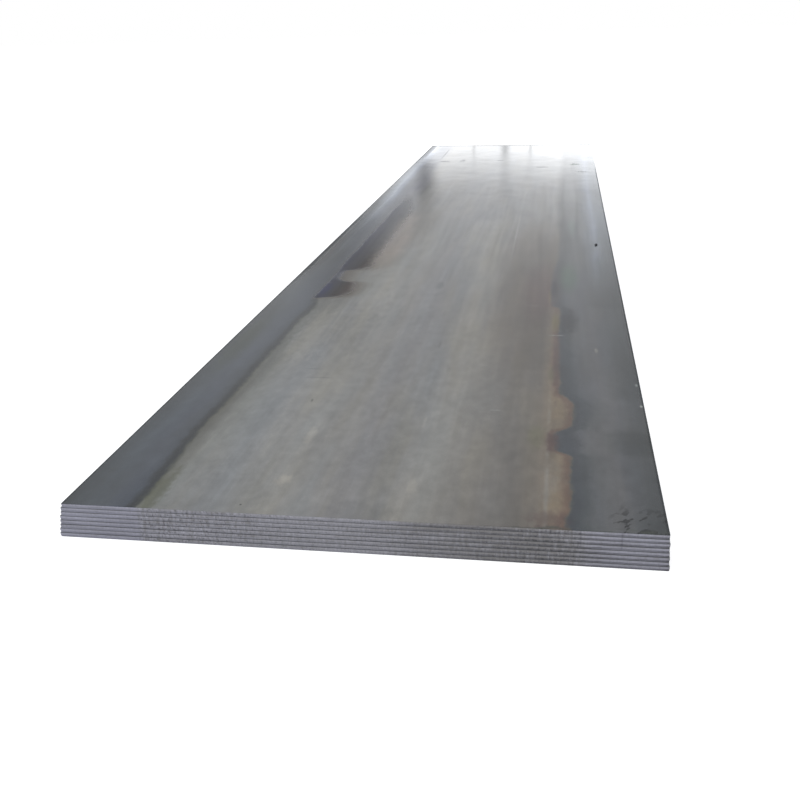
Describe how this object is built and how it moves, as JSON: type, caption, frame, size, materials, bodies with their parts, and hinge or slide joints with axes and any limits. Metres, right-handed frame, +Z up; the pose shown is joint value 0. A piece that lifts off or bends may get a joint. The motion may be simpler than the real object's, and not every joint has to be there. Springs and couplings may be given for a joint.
{
  "type": "stack of steel plates",
  "caption": "Stack of hot rolled steel plates with sheared edges, lying flat one on another.",
  "frame": {"origin": "on the floor, under the middle of the stack", "axes": "+Z up through the stack, +Y along the plates, +X across them to the right as seen from the -Y end"},
  "size_m": [1.2362, 6.1056, 0.0776],
  "materials": {
    "plate_steel": "hot rolled mill scale on the faces, brighter lavender grey sheared edges with a dark torn lower half",
    "top_plate_steel": "worn mill scale: warm grey middle, darker blue grey strips along both long edges with olive and rust fringes"
  },
  "bodies": {
    "root": {"plate_1": "plate_steel", "plate_2": "plate_steel", "plate_3": "plate_steel", "plate_4": "plate_steel", "plate_5": "plate_steel", "plate_6": "plate_steel", "plate_7": "plate_steel", "plate_8": "top_plate_steel"}
  },
  "joints": []
}
